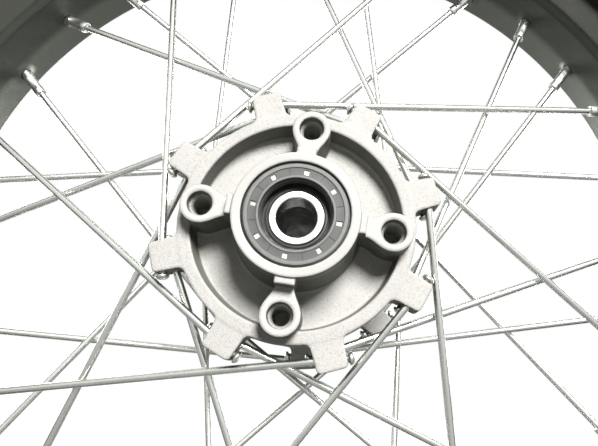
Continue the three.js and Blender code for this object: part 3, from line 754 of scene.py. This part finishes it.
def rim_hoop(material):
    vertices, faces = lathe(rim_profile(), RIM_SIDES)
    radius = np.hypot(vertices[:, 0], vertices[:, 2])
    rise = np.zeros(len(vertices))
    for line in SPOKES:
        near = np.linalg.norm(vertices - line["hole"], axis=1)
        rise = np.maximum(rise, DIMPLE_RISE / (1 + (near / DIMPLE_R) ** 4))
    ridge = BED_RIDGE * np.clip(1 - np.abs(vertices[:, 1]) / BED_HALF, 0, 1)
    rise = np.where(radius < BED_R + 1, np.maximum(rise, ridge), rise)
    rise[radius > WELL_R + 2] = 0
    vertices[:, 0] -= vertices[:, 0] / radius * rise
    vertices[:, 2] -= vertices[:, 2] / radius * rise
    rim = piece("rim_hoop", vertices, faces, material, replaces=["rim"], slot="painted_rim", sharp=50)
    tools = []
    for line in SPOKES:
        hole, along = line["hole"], line["along"]
        tools.append(tube([(hole + along * t, along, NIPPLE_HOLE_R) for t in (-4, 9)], 24))
    valve = polar(1, VALVE_ANGLE, 0)
    tools.append(tube([(valve * r, valve, VALVE_HOLE_R) for r in (BED_R - 4, WELL_R + 4)], 32))
    cut(rim, *gathered(tools), sharp=50)


# ---------- bearings, seals and spacer ----------
def ring_piece(name, corners, material, sides=144, step=None, **kw):
    return piece(name, *lathe(rounded(corners, step=step), sides), material, **kw)


def race(name, face, inward, land, back, material, body):
    """A race with its ball groove, from the land beside the groove to the back face of the ring."""
    inner_face = face + inward * BEARING_WIDTH
    middle = face + inward * BEARING_WIDTH / 2
    reach = math.sqrt(GROOVE_R ** 2 - (land - BALL_PITCH_R) ** 2)
    way = 1 if back > land else -1
    track = [
        (BALL_PITCH_R + way * math.sqrt(GROOVE_R ** 2 - t * t), middle + inward * t)
        for t in np.linspace(-reach, reach, 9)
    ]
    corners = [(back, face, 0.7), (land, face, 0.3), *track, (land, inner_face, 0.3), (back, inner_face, 0.7)]
    ring_piece(name, corners, material, body=body, replaces=[name], slot="race_steel", sharp=30)


def shield(name, outer_face, inward, material):
    """A rubber shield: a sunk band between a lip near the inner race and a bead in the outer one."""
    lip, bead = INNER_LAND_R, OUTER_LAND_R
    section = [
        (lip + 0.12, 0.35, 0.1), (lip + 0.5, 0.0, 0.1), (lip + 1.2, 0.05, 0.15), (lip + 1.5, 0.3, 0.15),
        (bead - 1.1, 0.3, 0.15), (bead - 0.8, 0.05, 0.15), (bead - 0.1, 0.05, 0.1),
        (bead - 0.1, 0.8, 0.1), (lip + 0.12, 0.9, 0.1),
    ]
    corners = [(r, outer_face + inward * depth, k) for r, depth, k in section]
    ring_piece(name, corners, material, body="wheel", replaces=[name], slot="shield_rubber")


def ball_set(name, middle, material, body, replaces):
    lats = np.radians(np.linspace(-88, 88, 15))
    balls = []
    for i in range(BALLS):
        centre = polar(BALL_PITCH_R, i * 360 / BALLS, middle)
        stations = [(centre + (0, BALL_R * math.sin(a), 0), (0, 1, 0), BALL_R * math.cos(a)) for a in lats]
        balls.append(tube(stations, 24))
    piece(name, *gathered(balls), material, body=body, replaces=replaces, slot="race_steel", sharp=60)


def cage_ribbons(name, middle, material, body):
    """Two pressed ribbons, one each side of the balls, that swell round every ball and meet between them."""
    steps = 192
    strips = []
    for way in (-1, 1):
        ring = []
        for k in range(steps):
            share = math.cos(k * TURN / steps * BALLS)
            lift = 0.32 + 2.75 * max(0.0, share + 0.35) / 1.35
            for out, thick in ((-1, 0), (1, 0), (1, 0.5), (-1, 0.5)):
                ring.append(polar(BALL_PITCH_R + out, k * 360 / steps, middle + way * (lift + thick)))
        order = (0, 1, 2, 3) if way > 0 else (3, 2, 1, 0)
        faces = []
        for k in range(steps):
            a, b = k * 4, (k + 1) % steps * 4
            for here, after in zip(order, order[1:] + order[:1]):
                faces.append((a + here, a + after, b + after, b + here))
        strips.append((np.array(ring), faces))
    piece(name, *gathered(strips), material, body=body, slot="cage_steel", sharp=40)


def bearing(label, face, inward, mats):
    prefix = label + "_bearing_"
    race(prefix + "outer_race", face, inward, OUTER_LAND_R, BEARING_R, mats["race"], "wheel")
    race(prefix + "inner_race", face, inward, INNER_LAND_R, AXLE_R, mats["race"], "axle_group")
    shield(prefix + "outer_shield", face + inward * SHIELD_DEPTH, inward, mats["shield"])
    shield(prefix + "inner_shield", face + inward * (BEARING_WIDTH - SHIELD_DEPTH), -inward, mats["shield"])
    middle, cage = face + inward * BEARING_WIDTH / 2, label + "_cage"
    ball_set(prefix + "balls", middle, mats["ball"], cage, [prefix + "ball_cage"])
    cage_ribbons(prefix + "cage_ribbons", middle, mats["cage"], cage)


def wedge(r_in, r_out, middle, half_arc, y_low, y_high):
    """A closed block between two radii and over an arc, for cutting a window."""
    low, high = sorted((y_low, y_high))
    corners = []
    for r in (r_in, r_out):
        for a in (middle - half_arc, middle + half_arc):
            corners += [polar(r, a, low), polar(r, a, high)]
    faces = [(0, 2, 3, 1), (4, 5, 7, 6), (0, 1, 5, 4), (2, 6, 7, 3), (0, 4, 6, 2), (1, 3, 7, 5)]
    return np.array(corners), faces


def oil_seal(label, nose, inward, mats):
    """A moulded seal with eight windows onto its metal case, and its garter spring behind the lip."""
    face = nose + inward * SEAL_SUNK
    at = lambda depth: face + inward * depth
    section = [
        (SEAL_R, 1.1, 0.2), (SEAL_R - 0.7, 0, 0.15), (17.5, 0, 0.15), (17.3, 0.35, 0.1), (14.5, 0.35, 0.1),
        (14.3, 0.08, 0.15), (13.55, 0.08, 0.25), (13.2, 0.9, 0.2), (13.1, 1.9, 0.2),
        (LIP_R + 0.25, 2.3, 0.15), (LIP_R, 3.1, 0.1), (LIP_R + 0.9, 3.9, 0.2),
        (14.3, 2.1, 0.4), (17.4, 1.9, 0.3), (17.4, 4.6, 0.2), (SEAL_R, 4.6, 0.4),
    ]
    corners = [(r, at(depth), k) for r, depth, k in section]
    name = label + "_oil_seal"
    seal = ring_piece(name, corners, mats["seal"], sides=192, replaces=[name], slot="seal_rubber", sharp=30)
    turns = [360 / SEAL_WINDOWS * k for k in range(SEAL_WINDOWS)]
    windows = [wedge(14.9, 16.9, FIRST_WINDOW + turn, 3.2, at(-1), at(0.95)) for turn in turns]
    notches = [wedge(14.6, 17.2, FIRST_NOTCH + turn, 0.35, at(-1), at(0.7)) for turn in turns]
    cut(seal, *gathered(windows + notches), sharp=30)
    case = [(r, at(depth)) for r, depth in ((14.0, 0.85), (17.9, 0.85), (17.9, 1.4), (14.0, 1.4))]
    ring_piece(label + "_seal_case", case, mats["case"], slot="cage_steel")
    garter_spring(label + "_seal_garter_spring", at(3.0), mats["cage"])


def garter_spring(name, middle, material):
    """A closed coil of fine wire round the seal's lip."""
    coils, steps = 96, 10
    ring_r, coil_r, wire_r = 15.3, 0.4, 0.13
    rate = TURN * coil_r
    stations = []
    for k in range(coils * steps):
        turn, wind = k / (coils * steps) * TURN, k / steps * TURN
        r, y = ring_r + coil_r * math.cos(wind), middle + coil_r * math.sin(wind)
        here = np.array((r * math.cos(turn), y, r * math.sin(turn)))
        heading = np.array((
            -math.sin(turn) * r * TURN / coils - math.cos(turn) * math.sin(wind) * rate,
            math.cos(wind) * rate,
            math.cos(turn) * r * TURN / coils - math.sin(turn) * math.sin(wind) * rate,
        ))
        stations.append((here, heading, wire_r))
    piece(name, *tube(stations, 6, closed=True), material, replaces=[name], slot="cage_steel", sharp=70)


def spacer_tube(material):
    start, end = NEAR_BEARING_Y + BEARING_WIDTH + 0.15, FAR_BEARING_Y - BEARING_WIDTH - 0.15
    corners = [
        (SPACER_BORE_R, start, 0.4), (SPACER_R, start, 0.6), (SPACER_R, end, 0.6), (SPACER_BORE_R, end, 0.4),
    ]
    ring_piece("axle_spacer_tube_drawn", corners, material, sides=96, step=2.0, body="axle_group",
               replaces=["axle_spacer_tube"], slot="tube_steel")


def floor():
    half = 3.0  # metres, as the frame's own box is
    z = cad_box[0][2]
    mesh = bpy.data.meshes.new("floor")
    corners = [(-half, -half, z), (half, -half, z), (half, half, z), (-half, half, z)]
    mesh.from_pydata(corners, [], [(0, 1, 2, 3)])
    obj = bpy.data.objects.new("floor", mesh)
    bpy.context.scene.collection.objects.link(obj)
    mesh.materials.append(floor_material())


# ---------- the scene ----------
camera()
studio()
floor()
MATERIALS = dict(
    race=turned_steel("ground_race_steel", (0.88, 0.88, 0.86), 0.2, 0.12),
    ball=turned_steel("polished_ball_steel", (0.80, 0.80, 0.80), 0.08, 0.05),
    cage=plated_steel("pressed_cage_steel", (0.55, 0.53, 0.48), (0.42, 0.40, 0.36), 0.35),
    case=plated_steel("seal_case_steel", (0.42, 0.42, 0.405), (0.34, 0.34, 0.325), 0.55),
    seal=seal_rubber(),
    shield=moulded_rubber("shield_rubber_black", (0.016, 0.017, 0.016), 0.42),
)
WIRE = plated_steel("zinc_plated_wire", (0.82, 0.835, 0.80), (0.70, 0.715, 0.68), 0.24)
NIPPLE = plated_steel("bright_plated_nipple", (0.93, 0.93, 0.91), (0.85, 0.85, 0.83), 0.30)

hub_casting(cast_aluminium())
rim_hoop(rim_paint())
for spoke in SPOKES:
    spoke_wire(spoke, WIRE)
    nipple(spoke, NIPPLE)
bearing("disc_side", NEAR_BEARING_Y, 1, MATERIALS)
bearing("far_side", FAR_BEARING_Y, -1, MATERIALS)
oil_seal("disc_side", NOSE_Y, 1, MATERIALS)
oil_seal("far_side", FAR_NOSE_Y, -1, MATERIALS)
spacer_tube(turned_steel("drawn_tube_steel", (0.15, 0.158, 0.145), 0.6, 0.5))
